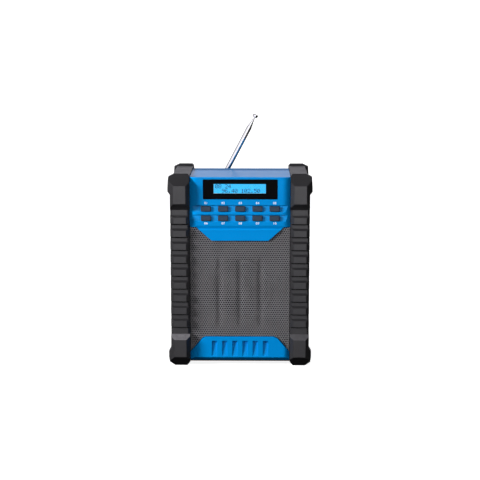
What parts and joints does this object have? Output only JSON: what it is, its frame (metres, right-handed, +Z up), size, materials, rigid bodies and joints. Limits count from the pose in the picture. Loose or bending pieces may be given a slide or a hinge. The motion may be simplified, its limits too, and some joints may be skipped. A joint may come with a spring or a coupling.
{
  "type": "jobsite radio",
  "caption": "Upright jobsite radio with ribbed rubber corner bumpers, backlit display, press keys, perforated speaker grille and a telescopic antenna behind the top.",
  "frame": {"origin": "on the ground, midway between the outer sides and between the front and rear faces of the bumpers", "axes": "+X to the right seen from the front, +Y to the back, +Z up; the display and grille face -Y"},
  "size_m": [0.17, 0.136, 0.2952],
  "materials": {
    "bumper_rubber": "moulded, matt, fine grain",
    "housing_grey": "moulded, fine texture",
    "housing_blue": "moulded, fine texture",
    "panel_blue": "smooth, glossy",
    "grille_steel": "powder-coated sheet",
    "window_black": "clear window, black behind",
    "seal_rubber": "matt",
    "screw_steel": "zinc plated",
    "lcd_cyan": "backlit cell",
    "light_guide": "clear",
    "key_grey": "soft touch",
    "board_green": "solder mask",
    "part_black": "moulded",
    "usb_steel": "plated",
    "magnet_black": "ground",
    "cone_paper": "pressed paper",
    "coil_copper": "wound wire",
    "sink_aluminium": "extruded",
    "cell_wrap": "shrink wrap",
    "antenna_chrome": "polished"
  },
  "bodies": {
    "radio": {"front_left_bumper": "bumper_rubber", "front_right_bumper": "bumper_rubber", "rear_left_bumper": "bumper_rubber", "rear_right_bumper": "bumper_rubber", "front_housing": "housing_grey", "rear_housing": "housing_blue", "battery_cover": "housing_blue", "control_panel": "panel_blue", "lower_trim": "panel_blue", "speaker_grille": "grille_steel", "display_window": "window_black", "housing_seal": "seal_rubber", "speaker_gasket": "seal_rubber", "speaker_surround": "seal_rubber", "housing_screws": "screw_steel", "speaker_screws": "screw_steel", "board_screws": "screw_steel", "battery_cover_screws": "screw_steel", "antenna_screws": "screw_steel", "antenna_pin": "screw_steel", "socket_cover_pin": "screw_steel", "antenna_bracket": "screw_steel", "lcd_frame": "screw_steel", "speaker_basket": "screw_steel", "tuner_shield": "screw_steel", "battery_contacts": "screw_steel", "lcd_glass": "lcd_cyan", "backlight": "light_guide", "key_board": "board_green", "main_board": "board_green", "socket_board": "board_green", "tact_switches": "part_black", "dc_socket": "part_black", "aux_socket": "part_black", "speaker_spider": "part_black", "usb_socket": "usb_steel", "speaker_magnet": "magnet_black", "speaker_cone": "cone_paper", "dust_cap": "cone_paper", "voice_coil": "coil_copper", "heat_sink": "sink_aluminium", "battery_cells": "cell_wrap"},
    "key_upper_1": {"key_upper_1": "key_grey"},
    "key_upper_2": {"key_upper_2": "key_grey"},
    "key_upper_3": {"key_upper_3": "key_grey"},
    "key_upper_4": {"key_upper_4": "key_grey"},
    "key_upper_5": {"key_upper_5": "key_grey"},
    "key_lower_1": {"key_lower_1": "key_grey"},
    "key_lower_2": {"key_lower_2": "key_grey"},
    "key_lower_3": {"key_lower_3": "key_grey"},
    "key_lower_4": {"key_lower_4": "key_grey"},
    "key_lower_5": {"key_lower_5": "key_grey"},
    "socket_cover": {"socket_cover": "seal_rubber"},
    "antenna_base": {"antenna_knuckle": "antenna_chrome", "antenna_section_1": "antenna_chrome"},
    "antenna_second": {"antenna_section_2": "antenna_chrome"},
    "antenna_third": {"antenna_section_3": "antenna_chrome"},
    "antenna_fourth": {"antenna_section_4": "antenna_chrome"},
    "antenna_tip": {"antenna_rod": "antenna_chrome", "antenna_cap": "antenna_chrome"}
  },
  "joints": [
    {"name": "key_upper_1_press", "type": "slide", "parent": "radio", "child": "key_upper_1", "axis": [0, 1, 0], "range_m": [0, 0.001], "stiffness_N_per_m": 800},
    {"name": "key_upper_2_press", "type": "slide", "parent": "radio", "child": "key_upper_2", "axis": [0, 1, 0], "range_m": [0, 0.001], "stiffness_N_per_m": 800},
    {"name": "key_upper_3_press", "type": "slide", "parent": "radio", "child": "key_upper_3", "axis": [0, 1, 0], "range_m": [0, 0.001], "stiffness_N_per_m": 800},
    {"name": "key_upper_4_press", "type": "slide", "parent": "radio", "child": "key_upper_4", "axis": [0, 1, 0], "range_m": [0, 0.001], "stiffness_N_per_m": 800},
    {"name": "key_upper_5_press", "type": "slide", "parent": "radio", "child": "key_upper_5", "axis": [0, 1, 0], "range_m": [0, 0.001], "stiffness_N_per_m": 800},
    {"name": "key_lower_1_press", "type": "slide", "parent": "radio", "child": "key_lower_1", "axis": [0, 1, 0], "range_m": [0, 0.001], "stiffness_N_per_m": 800},
    {"name": "key_lower_2_press", "type": "slide", "parent": "radio", "child": "key_lower_2", "axis": [0, 1, 0], "range_m": [0, 0.001], "stiffness_N_per_m": 800},
    {"name": "key_lower_3_press", "type": "slide", "parent": "radio", "child": "key_lower_3", "axis": [0, 1, 0], "range_m": [0, 0.001], "stiffness_N_per_m": 800},
    {"name": "key_lower_4_press", "type": "slide", "parent": "radio", "child": "key_lower_4", "axis": [0, 1, 0], "range_m": [0, 0.001], "stiffness_N_per_m": 800},
    {"name": "key_lower_5_press", "type": "slide", "parent": "radio", "child": "key_lower_5", "axis": [0, 1, 0], "range_m": [0, 0.001], "stiffness_N_per_m": 800},
    {"name": "socket_cover_hinge", "type": "hinge", "parent": "radio", "child": "socket_cover", "pos_m": [0.011, 0.0592, 0.13], "axis": [0, 0, 1], "range_deg": [0, 150]},
    {"name": "antenna_tilt", "type": "hinge", "parent": "radio", "child": "antenna_base", "pos_m": [-0.0232, 0.044, 0.2145], "axis": [0, 1, 0], "range_deg": [-82.7, 46]},
    {"name": "antenna_second_slide", "type": "slide", "parent": "antenna_base", "child": "antenna_second", "axis": [0.4648, 0, 0.8854], "range_m": [-0.003, 0.05]},
    {"name": "antenna_third_slide", "type": "slide", "parent": "antenna_second", "child": "antenna_third", "axis": [0.4648, 0, 0.8854], "range_m": [-0.003, 0.05]},
    {"name": "antenna_fourth_slide", "type": "slide", "parent": "antenna_third", "child": "antenna_fourth", "axis": [0.4648, 0, 0.8854], "range_m": [-0.003, 0.05]},
    {"name": "antenna_tip_slide", "type": "slide", "parent": "antenna_fourth", "child": "antenna_tip", "axis": [0.4648, 0, 0.8854], "range_m": [-0.003, 0.05]}
  ]
}
